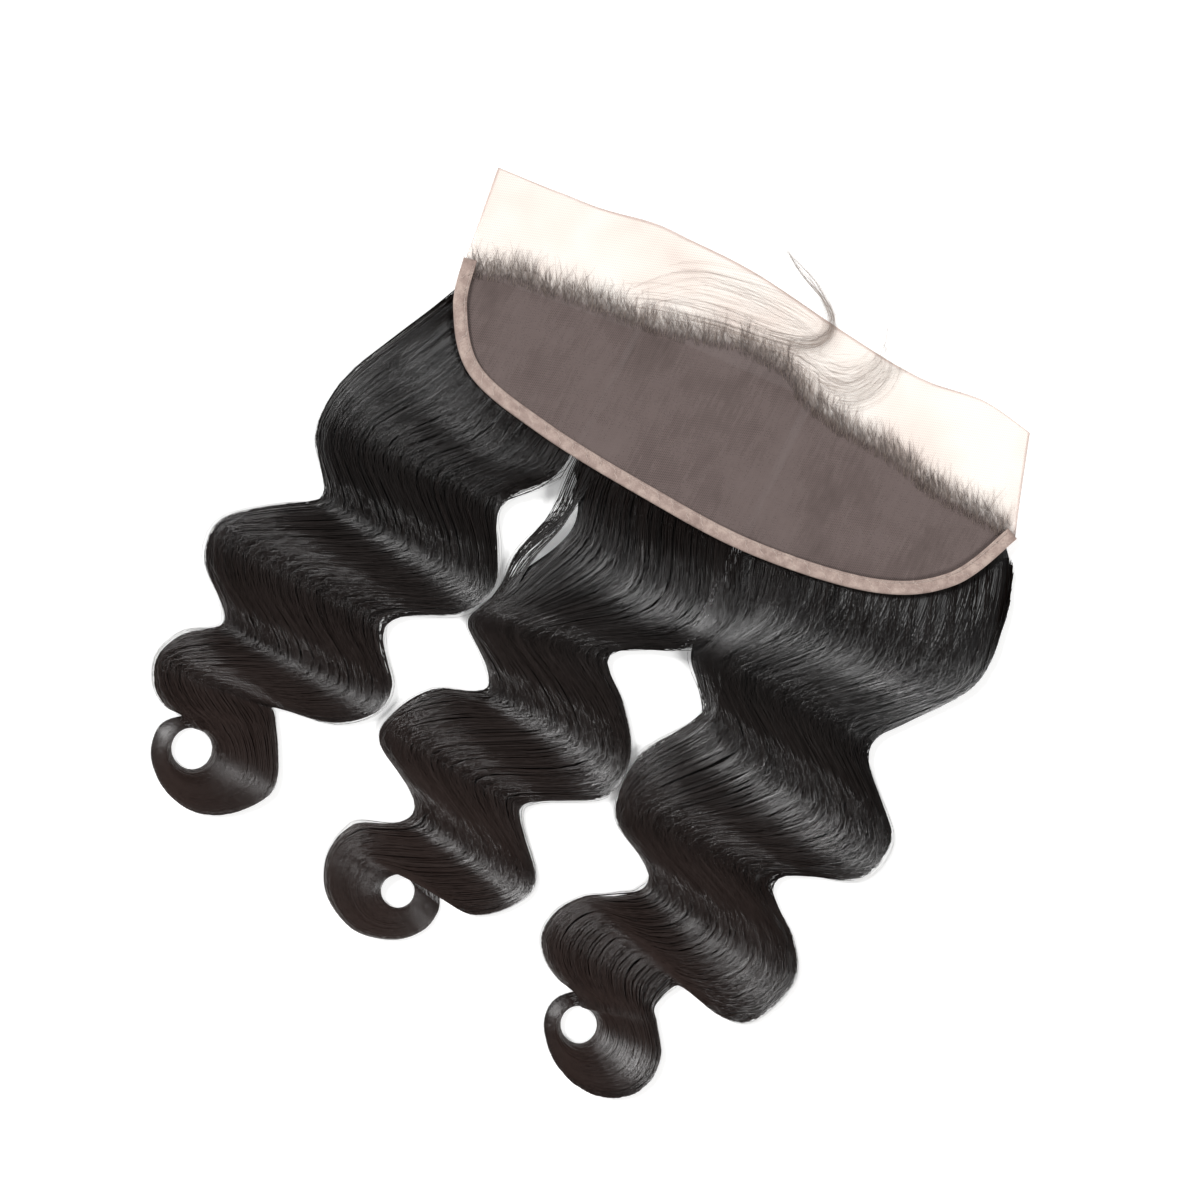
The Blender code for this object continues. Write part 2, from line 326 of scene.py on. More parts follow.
mat, tree, shader = new_material("swiss_lace_warp_knit_net", Roughness=0.75, Specular_IOR_Level=0.25)
coords = node(tree, "ShaderNodeTexCoord").outputs["Object"]
threads = []
for turn in (THREAD_TURN, -THREAD_TURN):
    turned = node(tree, "ShaderNodeMapping", (("Vector", coords),), Rotation=(0.0, 0.0, turn))
    across = node(tree, "ShaderNodeSeparateXYZ", ((0, turned),))
    cells = node(tree, "ShaderNodeMath", ((0, across), (1, 1.0 / CELL)), operation="MULTIPLY")
    saw = node(tree, "ShaderNodeMath", ((0, cells), (1, 0.5)), operation="PINGPONG")
    line = node(tree, "ShaderNodeMapRange", (("Value", saw),), From_Min=THREAD_OUT, From_Max=THREAD_IN)
    threads.append(line)
thread = node(tree, "ShaderNodeMath", ((0, threads[0]), (1, threads[1])), operation="MAXIMUM")

knot = node(tree, "ShaderNodeAttribute", attribute_name="knotted").outputs["Fac"]
brushed = node(tree, "ShaderNodeMapping", (("Vector", coords),), Rotation=TUFT_TURN, Scale=TUFTS)
tufts = node(tree, "ShaderNodeTexNoise", (("Vector", brushed),), Scale=1.0, Detail=3.0)
edge_sum = node(tree, "ShaderNodeMath", ((0, tufts), (1, TUFT_SHARE), (2, knot)), operation="MULTIPLY_ADD")
edge = node(tree, "ShaderNodeMapRange", (("Value", edge_sum),), From_Min=ZONE_START, From_Max=ZONE_FULL)

cloud = node(tree, "ShaderNodeTexNoise", (("Vector", coords),), Scale=CLOUDS, Detail=4.0, Roughness=0.55)
stretch = node(tree, "ShaderNodeMapping", (("Vector", coords),), Rotation=STREAK_TURN, Scale=STREAKS)
streaks = node(tree, "ShaderNodeTexNoise", (("Vector", stretch),), Scale=1.0, Detail=2.0)
tone_feeds = ((0, streaks), (1, STREAK_SHARE), (2, cloud))
tone_sum = node(tree, "ShaderNodeMath", tone_feeds, operation="MULTIPLY_ADD")
knot_tones = ((0.45, "594d4a"), (0.75, "6b5e5b"), (1.0, "716461"))
knot_tone = node(tree, "ShaderNodeValToRGB", ((0, tone_sum),), knot_tones)
specks = node(tree, "ShaderNodeTexVoronoi", (("Vector", coords),), Scale=KNOTS, Randomness=0.6)
speck = node(tree, "ShaderNodeMapRange", (("Value", specks),), From_Min=0.10, From_Max=0.55, To_Min=0.90)
speckled = node(
    tree, "ShaderNodeMix", ((0, 1.0), (6, knot_tone), (7, speck)), data_type="RGBA", blend_type="MULTIPLY"
)

patchy = node(tree, "ShaderNodeTexNoise", (("Vector", coords),), Scale=PATCHES, Detail=2.0)
rim = node(tree, "ShaderNodeAttribute", attribute_name="rim").outputs["Fac"]
patchy_sum = node(tree, "ShaderNodeMath", ((0, rim), (1, RIM_SHADE), (2, patchy)), operation="MULTIPLY_ADD")
bare_tones = ((0.0, "d0b9ae"), (0.38, "ecdfd6"), (0.62, "f3ece5"))
bare_tone = node(tree, "ShaderNodeValToRGB", ((0, patchy_sum),), bare_tones)
tone = node(tree, "ShaderNodeMix", ((0, edge), (6, bare_tone), (7, speckled.outputs[2])), data_type="RGBA")
tree.links.new(tone.outputs[2], shader.inputs["Base Color"])

bump = node(tree, "ShaderNodeBump", (("Height", thread),), Strength=0.35, Distance=0.0002)
tree.links.new(bump.outputs[0], shader.inputs["Normal"])
bare_cover = node(tree, "ShaderNodeMapRange", (("Value", thread),), To_Min=BARE_CELL, To_Max=BARE_THREAD)
full_cover = node(tree, "ShaderNodeMapRange", (("Value", thread),), To_Min=FULL_CELL, To_Max=FULL_THREAD)
cover = node(tree, "ShaderNodeMix", ((0, edge), (2, bare_cover), (3, full_cover)), data_type="FLOAT")
tree.links.new(cover.outputs[0], shader.inputs["Alpha"])
lace.data.materials.append(mat)
finish_piece(lace, "lace_net", "lace_sheet")


# Edge binding
# A cotton tape folded over the curved rear edge of the net and sewn through both faces.
# Short whip stitches cross it and a lockstitch runs along its inner edge.
TAPE_WIDTH = 0.0076
TAPE_WALL = 0.0010
GAP = 0.0003
TAPE_STATIONS = 181
tape_inner = TAPE_WIDTH - GAP - TAPE_WALL
tape_low = LACE_WALL + GAP
tape_top = tape_low + TAPE_WALL
# The folded section, out over the upper face, round the fold, in under the lace and back along the inside.
# Columns: in from the lace edge, up from the underside of the lace
TAPE_SECTION = (
    (tape_inner, tape_low),
    (tape_inner, tape_low + TAPE_WALL * 0.8),
    (tape_inner - 0.0006, tape_top),
    (tape_inner * 0.7, tape_low + TAPE_WALL * 0.85),
    (tape_inner * 0.4, tape_top),
    (0.0002, tape_low + TAPE_WALL * 0.95),
    (-GAP - TAPE_WALL * 0.6, tape_low + TAPE_WALL * 0.4),
    (-GAP - TAPE_WALL, LACE_WALL * 0.5),
    (-GAP - TAPE_WALL * 0.6, -GAP - TAPE_WALL * 0.5),
    (0.0004, -GAP - TAPE_WALL),
    (tape_inner, -GAP - TAPE_WALL),
    (tape_inner, -GAP),
    (-GAP, -GAP),
    (-GAP, tape_low),
)
edge_line = even_points(REAR_EDGE, TAPE_STATIONS)
along = np.gradient(edge_line, axis=0)
along /= np.linalg.norm(along, axis=1)[:, None]
inward = np.stack([along[:, 1], -along[:, 0]], axis=1)


def tape_point(i, offset, height):
    """Point of the tape at station i."""
    p = edge_line[i] + inward[i] * offset
    return Vector(placed(p[0], p[1], lace_under(p[0], p[1]) + height))


def loft(name, rings):
    """Closed piece through the rings: a grid rolled up and capped, with a UV map running round and along."""
    count = len(rings[0])
    last = len(rings) - 1
    bm = bmesh.new()
    bm.loops.layers.uv.new("along")
    bmesh.ops.create_grid(bm, x_segments=count, y_segments=last, size=1.0, calc_uvs=True)
    for v in bm.verts:
        k = round((v.co.x + 1.0) * 0.5 * count) % count
        i = round((v.co.y + 1.0) * 0.5 * last)
        v.co = rings[i][k]
    bmesh.ops.remove_doubles(bm, verts=bm.verts[:], dist=1e-7)
    bmesh.ops.holes_fill(bm, edges=[e for e in bm.edges if e.is_boundary], sides=0)
    bmesh.ops.recalc_face_normals(bm, faces=bm.faces[:])
    return new_piece(name, bm)


def tubes(name, paths, radii, sides=3, **values):
    """One mesh of thin round threads, one along each path, swept with a small ring and capped.

    Each value becomes an attribute: one number a thread, or one for each point of its path.
    """
    ring_data = bpy.data.curves.new(name + "_ring", "CURVE")
    ring_data.dimensions = "2D"
    spline = ring_data.splines.new("POLY")
    spline.points.add(sides - 1)
    for k, point in enumerate(spline.points):
        turn = 2.0 * math.pi * k / sides
        point.co = (math.cos(turn), math.sin(turn), 0.0, 1.0)
    spline.use_cyclic_u = True
    ring = bpy.data.objects.new(name + "_ring", ring_data)
    data = bpy.data.curves.new(name, "CURVE")
    data.dimensions = "3D"
    data.bevel_mode = "OBJECT"
    data.bevel_object = ring
    data.use_fill_caps = True
    data.twist_mode = "MINIMUM"
    for path, radius in zip(paths, radii):
        spline = data.splines.new("POLY")
        spline.points.add(len(path) - 1)
        spline.points.foreach_set("co", np.concatenate([path, np.ones((len(path), 1))], axis=1).ravel())
        spline.points.foreach_set("radius", np.broadcast_to(radius, (len(path),)).ravel())
    temp = bpy.data.objects.new(name + "_curve", data)
    scene.collection.objects.link(temp)
    bpy.context.view_layer.update()
    mesh = bpy.data.meshes.new_from_object(temp.evaluated_get(bpy.context.evaluated_depsgraph_get()))
    mesh.name = name
    # The swept mesh lists the end caps first, from the last thread to the first, and then each ring in turn
    for key, numbers in values.items():
        numbers = np.broadcast_to(np.reshape(numbers, (len(paths), -1)), (len(paths), len(paths[0])))
        caps = numbers[::-1][:, [-1, 0]]
        listed = np.repeat(np.concatenate([caps.ravel(), numbers.ravel()]), sides)
        attribute = mesh.attributes.new(key, "FLOAT", "POINT")
        attribute.data.foreach_set("value", listed.astype(np.float32))
    bm = bmesh.new()
    bm.from_mesh(mesh)
    bmesh.ops.remove_doubles(bm, verts=bm.verts[:], dist=1e-7)
    bmesh.ops.recalc_face_normals(bm, faces=bm.faces[:])
    bm.to_mesh(mesh)
    bm.free()
    bpy.data.objects.remove(temp)
    bpy.data.objects.remove(ring)
    bpy.data.curves.remove(data)
    bpy.data.curves.remove(ring_data)
    obj = bpy.data.objects.new(name, mesh)
    scene.collection.objects.link(obj)
    return obj


tape_rings = []
for i in range(TAPE_STATIONS):
    tape_rings.append([tape_point(i, offset, height) for offset, height in TAPE_SECTION])
tape = loft("binding_tape", tape_rings)
# Bias-cut cotton tape, plain woven: matt, with a fine rib and darker blotches (so many to the metre)
RIBS = 1500.0
BLOTCHES = 190.0
RIB_SHARE = 0.6
mat, tree, shader = new_material("cotton_bias_tape_plain_weave", Roughness=0.85, Specular_IOR_Level=0.2)
coords = node(tree, "ShaderNodeTexCoord").outputs["Object"]
warp = node(tree, "ShaderNodeTexNoise", (("Vector", coords),), Scale=RIBS, Detail=2.0)
blotch = node(tree, "ShaderNodeTexNoise", (("Vector", coords),), Scale=BLOTCHES, Detail=3.0)
tape_sum = node(tree, "ShaderNodeMath", ((0, warp), (1, RIB_SHARE), (2, blotch)), operation="MULTIPLY_ADD")
tape_tones = ((0.50, "85736c"), (0.80, "9f8c84"), (1.0, "b3a197"))
tape_tone = node(tree, "ShaderNodeValToRGB", ((0, tape_sum),), tape_tones)
tree.links.new(tape_tone.outputs[0], shader.inputs["Base Color"])
bump = node(tree, "ShaderNodeBump", (("Height", warp),), Strength=0.5, Distance=0.0003)
tree.links.new(bump.outputs[0], shader.inputs["Normal"])
tape.data.materials.append(mat)
finish_piece(tape, "tape_cotton", "edge_binding")

STITCH_LIFT = 0.00012
STITCH_RADIUS = 0.00020
# Whip stitches: stations between them and crossed by each, points, tuck at the fold, share of the height
WHIP_EVERY = 4
WHIP_LEAN = 2
WHIP_POINTS = 6
WHIP_TUCK = 0.0002
WHIP_SINK = 0.97
# Lockstitch: how far in from the tape's inner edge, and the places of its points along each stitch
LOCKSTITCH_INSET = 0.0013
LOCKSTITCH_POINTS = (0.08, 0.3, 0.6, 0.92)
stitch_paths = []
for i in range(3, TAPE_STATIONS - 3, WHIP_EVERY):
    path = []
    for s in np.linspace(0.0, 1.0, WHIP_POINTS):
        offset = tape_inner * (1.0 - s) - WHIP_TUCK * (s > 0.9)
        p = tape_point(i + round(WHIP_LEAN * s), offset, tape_top * WHIP_SINK)
        p.z += STITCH_LIFT * math.sin(math.pi * s)
        path.append(p)
    stitch_paths.append(np.array(path))
for i in range(1, TAPE_STATIONS - 2):
    start = tape_point(i, tape_inner - LOCKSTITCH_INSET, tape_top)
    end = tape_point(i + 1, tape_inner - LOCKSTITCH_INSET, tape_top)
    path = []
    for s in LOCKSTITCH_POINTS:
        path.append(start.lerp(end, s) + Vector((0.0, 0.0, STITCH_LIFT * math.sin(math.pi * s))))
    stitch_paths.append(np.array(path))
stitches = tubes("binding_stitches", stitch_paths, [STITCH_RADIUS] * len(stitch_paths), sides=5)
# Spun polyester sewing thread: a little lighter and shinier than the tape. Plies to the metre
PLIES = 2200.0
mat, tree, shader = new_material("spun_polyester_sewing_thread", Roughness=0.55)
coords = node(tree, "ShaderNodeTexCoord").outputs["Object"]
ply = node(tree, "ShaderNodeTexNoise", (("Vector", coords),), Scale=PLIES)
ply_tone = node(tree, "ShaderNodeValToRGB", ((0, ply),), ((0.35, "a5938b"), (0.65, "c8b8ae")))
tree.links.new(ply_tone.outputs[0], shader.inputs["Base Color"])
stitches.data.materials.append(mat)
finish_piece(stitches, "tape_cotton")


# Locks of hair
# Long dark hair set in a body wave and knotted under the net, in three locks that each end in a ring curl.
# The waves of a lock's strands stay in step, because they are copies of each other moved across it. Loose
# strands lie along a dark inner body.
LOCK_HEIGHT = 0.016
SIDE_SHARE = 0.30
DOME_POWER = 2.6
ROOT_MIN = 0.0012
ROOT_CLEAR = TAPE_WALL + 2.0 * GAP
# Where locks lie against each other near the roots, their sides stay high for this many rows
JOIN_SHARE = 0.92
LEFT_JOIN = (0, 3)
MIDDLE_JOIN = (3, 5)
RIGHT_JOIN = (5, 0)
# How softly the hair's own top turns to the underside of the lace over it
MEET_BLEND = 0.0009

# Columns: left across, left back, right across, right back (shares of the lace width), height (share of the
# lock height)
LEFT_ROWS = (
    (-0.490, 0.013, -0.201, -0.020, 0.10),
    (-0.502, 0.056, -0.201, 0.075, 0.56),
    (-0.550, 0.154, -0.203, 0.174, 0.94),
    (-0.596, 0.251, -0.209, 0.255, 0.94),
    (-0.608, 0.319, -0.262, 0.316, 0.88),
    (-0.598, 0.378, -0.273, 0.354, 0.81),
    (-0.555, 0.431, -0.250, 0.398, 0.81),
    (-0.545, 0.464, -0.223, 0.466, 0.88),
    (-0.603, 0.501, -0.257, 0.530, 0.88),
    (-0.678, 0.566, -0.357, 0.583, 0.75),
    (-0.672, 0.637, -0.346, 0.634, 0.69),
    (-0.615, 0.688, -0.303, 0.685, 0.75),
    (-0.597, 0.723, -0.307, 0.738, 0.81),
    (-0.648, 0.759, -0.364, 0.786, 0.75),
    (-0.672, 0.812, -0.461, 0.803, 0.62),
    (-0.655, 0.860, -0.458, 0.811, 0.62),
    (-0.622, 0.883, -0.452, 0.821, 0.62),
    (-0.590, 0.883, -0.444, 0.834, 0.62),
)
MIDDLE_ROWS = (
    (-0.198, -0.033, 0.104, -0.046, 0.10),
    (-0.198, 0.075, 0.104, 0.066, 0.56),
    (-0.198, 0.174, 0.104, 0.166, 0.94),
    (-0.198, 0.252, 0.104, 0.249, 1.00),
    (-0.194, 0.317, 0.104, 0.340, 0.94),
    (-0.217, 0.400, 0.094, 0.414, 0.88),
    (-0.214, 0.470, 0.020, 0.458, 0.81),
    (-0.239, 0.533, -0.006, 0.492, 0.75),
    (-0.194, 0.574, 0.053, 0.543, 0.75),
    (-0.155, 0.625, 0.102, 0.616, 0.81),
    (-0.236, 0.658, 0.094, 0.694, 0.81),
    (-0.281, 0.725, -0.004, 0.752, 0.69),
    (-0.278, 0.781, -0.015, 0.787, 0.62),
    (-0.182, 0.835, 0.052, 0.866, 0.69),
    (-0.188, 0.882, 0.036, 0.923, 0.75),
    (-0.249, 0.910, -0.016, 0.966, 0.69),
    (-0.265, 0.931, -0.078, 0.964, 0.62),
)
RIGHT_ROWS = (
    (0.108, -0.040, 0.495, 0.012, 0.10),
    (0.108, 0.075, 0.537, 0.064, 0.56),
    (0.108, 0.166, 0.561, 0.160, 0.94),
    (0.108, 0.249, 0.559, 0.260, 1.00),
    (0.108, 0.340, 0.483, 0.366, 0.94),
    (0.111, 0.421, 0.443, 0.424, 0.88),
    (0.167, 0.478, 0.487, 0.477, 0.88),
    (0.173, 0.515, 0.552, 0.547, 0.88),
    (0.118, 0.598, 0.532, 0.630, 0.88),
    (0.110, 0.667, 0.433, 0.667, 0.75),
    (0.133, 0.725, 0.401, 0.708, 0.69),
    (0.216, 0.769, 0.474, 0.763, 0.75),
    (0.211, 0.807, 0.510, 0.829, 0.81),
    (0.190, 0.823, 0.478, 0.917, 0.78),
    (0.165, 0.840, 0.422, 0.934, 0.75),
    (0.137, 0.857, 0.349, 0.916, 0.72),
    (0.108, 0.896, 0.338, 0.927, 0.69),
    (0.102, 0.942, 0.329, 0.943, 0.69),
    (0.124, 0.978, 0.324, 0.957, 0.69),
    (0.160, 0.999, 0.322, 0.968, 0.69),
    (0.197, 1.006, 0.325, 0.977, 0.69),
)
# Ring curls. Middle of the hole (across, back) and its radius, shares of the lace width
LEFT_HOLE = (-0.554, 0.927, 0.035)
MIDDLE_HOLE = (-0.1435, 0.987, 0.028)
RIGHT_HOLE = (0.223, 1.051, 0.031)
# Columns: angle on the rim, angle on the outside (degrees), outer reach (share of the lace width), height
LEFT_CURL = (
    (-112, -35, 0.143, 0.60),
    (-88, -26, 0.143, 0.58),
    (-60, -10, 0.150, 0.56),
    (-30, 3, 0.152, 0.56),
    (5, 20, 0.136, 0.56),
    (38, 40, 0.120, 0.53),
    (70, 62, 0.104, 0.50),
    (104, 86, 0.087, 0.44),
    (138, 114, 0.074, 0.38),
    (172, 150, 0.068, 0.31),
    (206, 190, 0.066, 0.25),
    (238, 227, 0.057, 0.19),
)
MIDDLE_CURL = (
    (-90, -168, 0.133, 0.60),
    (-125, -184, 0.129, 0.56),
    (-165, -204, 0.120, 0.56),
    (-205, -224, 0.108, 0.50),
    (-245, -248, 0.097, 0.44),
    (-285, -275, 0.084, 0.38),
    (-320, -303, 0.079, 0.31),
    (-355, -332, 0.077, 0.31),
    (-388, -355, 0.075, 0.25),
    (-412, -372, 0.072, 0.19),
)
RIGHT_CURL = (
    (-112, -31, 0.128, 0.66),
    (-90, -26, 0.130, 0.62),
    (-64, -14, 0.139, 0.62),
    (-36, -5, 0.147, 0.60),
    (-4, 10, 0.152, 0.56),
    (28, 27, 0.146, 0.56),
    (58, 46, 0.126, 0.53),
    (88, 68, 0.099, 0.50),
    (118, 96, 0.074, 0.44),
    (148, 128, 0.060, 0.38),
    (178, 162, 0.058, 0.31),
    (208, 196, 0.058, 0.25),
    (238, 231, 0.055, 0.19),
)
# Hair that carries each ring on and tucks its ends against the lock. Columns as above
LEFT_CLOSE = ((268, 256, 0.052, 0.15),)
MIDDLE_CLOSE = ((-446, -400, 0.068, 0.15),)
RIGHT_CLOSE = ((270, 262, 0.052, 0.15),)
DENSE = 8


def curl_rows(hole, table, rim_is_left):
    """Rows that carry a lock round the hole of its curl."""
    cx, cy, radius = hole
    rows = []
    for rim, outside, reach, height in table:
        near = (cx + radius * math.cos(math.radians(rim)), cy + radius * math.sin(math.radians(rim)))
        far = (cx + reach * math.cos(math.radians(outside)), cy + reach * math.sin(math.radians(outside)))
        rows.append((*near, *far, height) if rim_is_left else (*far, *near, height))
    return rows


def lock_stations(rows, hole, curl, close, rim_is_left):
    """Dense sections of a lock in metres: left and right points, height. Closing rows lie past its end."""
    dense = smooth_rows(tuple(rows) + tuple(curl_rows(hole, tuple(curl) + close, rim_is_left)), DENSE)
    dense[:, :4] *= LACE_WIDTH
    dense[:, 4] = np.maximum(dense[:, 4] * LOCK_HEIGHT, ROOT_MIN)
    return dense


def held(join, across, row, reach=1.0):
    """How firmly a lock lies against the next one, 0 to 1, at a place across it and a row down it."""
    rows = np.where(np.asarray(across) < 0.5, join[0], join[1])
    return np.where(rows > 0, np.clip(reach + rows - row, 0.0, 1.0), 0.0)


def lock_surface(stations, join, across, along, scale=1.0):
    """Plan place and top height of a lock where across runs 0 to 1 over it and along runs 0 to 1 down it."""
    at = np.asarray(along) * (len(stations) - 1 - DENSE)
    rows = [np.interp(at, np.arange(len(stations)), stations[:, k]) for k in range(5)]
    x = rows[0] + (rows[2] - rows[0]) * across
    back = rows[1] + (rows[3] - rows[1]) * across
    dome = np.maximum(0.0, 1.0 - np.abs(2.0 * across - 1.0) ** DOME_POWER) ** (1.0 / DOME_POWER)
    dome = np.maximum(dome, JOIN_SHARE * held(join, across, at / DENSE))
    top = rows[4] * np.maximum(SIDE_SHARE, dome) * scale
    room = np.maximum(ROOT_MIN, lace_under(x, back) - ROOT_CLEAR)
    meeting = np.exp(-top / MEET_BLEND) + np.exp(-room / MEET_BLEND)
    return x, back, np.maximum(0.6 * ROOT_MIN, -MEET_BLEND * np.log(meeting))


HAIR_ROUGHNESS = 0.27
HAIR_SPECULAR = 0.75
# Sheen of the inner body, of the dullest strand and of the brightest one (shares of the specular level)
CORE_SHEEN = 0.5
LEAST_SHEEN = 0.45
MOST_SHEEN = 1.5
# Y places where the hair begins to turn a warmer brown and where it has turned
WARM_START = 0.02
WARM_FULL = -0.20
# Streaks of the inner body, round it and along it
CORE_STREAKS = (240.0, 7.0, 1.0)
STREAK_TONE = 0.5


def hair_material(name, tone_root, tone_tip, streak_from_uv):
    """Dark body-wave hair with a soft sheen; on strands, painted shade turns it down behind the tape. Lower
    lengths turn a warmer brown.
    """
    mat, tree, shader = new_material(name, Roughness=HAIR_ROUGHNESS)
    coords = node(tree, "ShaderNodeTexCoord")
    place = node(tree, "ShaderNodeSeparateXYZ", ((0, coords.outputs["Object"]),)).outputs[1]
    lower = node(tree, "ShaderNodeMapRange", (("Value", place),), From_Min=WARM_START, From_Max=WARM_FULL)
    if streak_from_uv:
        fine = node(tree, "ShaderNodeMapping", (("Vector", coords.outputs["UV"]),), Scale=CORE_STREAKS)
        streak = node(tree, "ShaderNodeTexNoise", (("Vector", fine),), Scale=1.0, Detail=3.0)
        bump = node(tree, "ShaderNodeBump", (("Height", streak),), Strength=0.9, Distance=0.0008)
        tree.links.new(bump.outputs[0], shader.inputs["Normal"])
        shader.inputs["Specular IOR Level"].default_value = HAIR_SPECULAR * CORE_SHEEN
    else:
        streak = node(tree, "ShaderNodeAttribute", attribute_name="strand").outputs["Fac"]
        # The attribute read here is painted shade: it turns the strands' sheen down behind the tape and at
        # the first bend
        lit = node(tree, "ShaderNodeAttribute", attribute_name="lit").outputs["Fac"]
        uneven = node(tree, "ShaderNodeMapRange", (("Value", streak),))
        uneven.inputs["To Min"].default_value = LEAST_SHEEN * HAIR_SPECULAR
        uneven.inputs["To Max"].default_value = MOST_SHEEN * HAIR_SPECULAR
        sheen = node(tree, "ShaderNodeMath", ((0, lit), (1, uneven)), operation="MULTIPLY")
        tree.links.new(sheen.outputs[0], shader.inputs["Specular IOR Level"])
    tone_feeds = ((0, streak), (1, STREAK_TONE), (2, lower))
    mixed = node(tree, "ShaderNodeMath", tone_feeds, operation="MULTIPLY_ADD")
    tone = node(tree, "ShaderNodeValToRGB", ((0, mixed),), ((0.1, tone_root), (1.0, tone_tip)))
    tree.links.new(tone.outputs[0], shader.inputs["Base Color"])
    return mat


core_hair = hair_material("body_wave_hair_inner_mass", "090808", "150f0d", True)
strand_hair = hair_material("body_wave_hair_strands", "0e0c0b", "281c18", False)

LOCKS = (
    ("hair_left", LEFT_ROWS, LEFT_JOIN, LEFT_HOLE, LEFT_CURL, LEFT_CLOSE, True, 11),
    ("hair_middle", MIDDLE_ROWS, MIDDLE_JOIN, MIDDLE_HOLE, MIDDLE_CURL, MIDDLE_CLOSE, False, 23),
    ("hair_right", RIGHT_ROWS, RIGHT_JOIN, RIGHT_HOLE, RIGHT_CURL, RIGHT_CLOSE, True, 37),
)
# Inner body: points over it, its ends along the lock, how far in its sides lie and its share of the height
CORE_ACROSS = 30
CORE_END = 0.992
CORE_SIDE = 0.015
CORE_TUCK = 0.01
CORE_SHRINK = 0.86
# Strands: the shares along the lock between which they start, and how far short of its end they stop
STRANDS = 780
STRAND_POINTS = 42
STRAND_RADIUS = 0.00018
STRAND_START = (0.02, 0.05)
STRAND_SHORT = 0.16
STRAND_SHORT_POWER = 2.2
STRAND_TAPER = 0.12
# Tresses across a lock, and how far strands gather into them
TRESS_COUNT = 17
TRESS_PULL = 0.22
# Bundles and wisps across a lock, and how far their strands wander
BUNDLES = 24.0
WISPS = 80.0
WANDER = 0.010
# Share of the strands that lie along the two edges of a lock, and the width of that band
EDGE_HAIRS = 0.18
EDGE_BAND = 0.06
# How far strands of neighbouring locks lie over each other at a seam
SEAM_SHARE = 0.20
SEAM_REACH = 1.5
# How far strands sink into the lock, on top and down its open sides
SINK_TOP = 0.07
SINK_SIDE = 0.75
RIPPLE = 0.0001
# Loose single hairs beside each lock: start, length, reach past its side, share of its height
FLYAWAYS = 16
FLYAWAY_POINTS = 40
FLYAWAY_RADIUS = 0.00008
FLYAWAY_START = (0.05, 0.55)
FLYAWAY_LENGTH = (0.12, 0.4)
FLYAWAY_REACH = (0.004, 0.024)
FLYAWAY_HEIGHT = (0.2, 0.9)

# A slit of light beside the thin outer wisp of the middle lock: where it lies along and across the lock
SLIT_SPAN = (0.105, 0.215)
SLIT_MIDDLE = 0.100
SLIT_HALF = 0.030
SLIT_CORE = 0.130


def slit_width(name, along):
    """How far the slit is open, 0 to 1, at a place along the lock."""
    share = np.clip((np.asarray(along) - SLIT_SPAN[0]) / (SLIT_SPAN[1] - SLIT_SPAN[0]), 0.0, 1.0)
    return np.sin(math.pi * share) ** 0.7 * (name == "hair_middle")


# First bend of the hair behind the tape. Columns: across, back, sideways shift (shares of the lace width),
# share of the sheen left there under painted shade
FIRST_BEND = (
    (-0.640, 0.110, 0.008, 0.60),
    (-0.526, 0.136, 0.014, 0.55),
    (-0.411, 0.225, 0.020, 0.55),
    (-0.316, 0.290, 0.014, 0.50),
    (-0.200, 0.335, 0.004, 0.22),
    (-0.120, 0.350, 0.020, 0.55),
    (-0.060, 0.350, 0.040, 0.90),
    (0.090, 0.328, 0.045, 0.85),
    (0.154, 0.310, 0.045, 0.75),
    (0.404, 0.300, 0.048, 1.00),
    (0.539, 0.250, 0.048, 1.00),
    (0.600, 0.220, 0.048, 1.00),
)
# How far the bend's shift reaches, and how far its painted shade on the sheen reaches (shares of the lace
# width)
BEND_SPAN = 0.085
SHEEN_SPAN = 0.130
# Painted shade turns down the sheen of the hair just behind the tape: least sheen there, how far ahead of
# the bend the shade ends and over what share of the lace width the sheen grows back
ROOT_SHADE = 0.14
ROOT_SHADE_LEAD = 0.02
ROOT_SHADE_SPAN = 0.11
# Strands swing further than their lock: rows that its mean line is taken over, and the gain
WAVE_ROWS = 6
WAVE_GAIN = 0.45
# Narrowest lock that a shift is reckoned for (share of the lace width)
LEAST_WIDTH = 0.15


def fuller_waves(stations, body_rows):
    """How far strands in mid lock lie past its mean line at each section, in metres. None in the curl."""
    middle = 0.5 * (stations[:, 0] + stations[:, 2])
    span = WAVE_ROWS * DENSE
    padded = np.pad(middle, span // 2, mode="edge")
    steady = np.convolve(padded, np.ones(span) / span, "valid")[: len(middle)]
    fade = np.clip((body_rows - 2.0 - np.arange(len(middle)) / DENSE) / 2.0, 0.0, 1.0)
    return WAVE_GAIN * (middle - steady) * fade


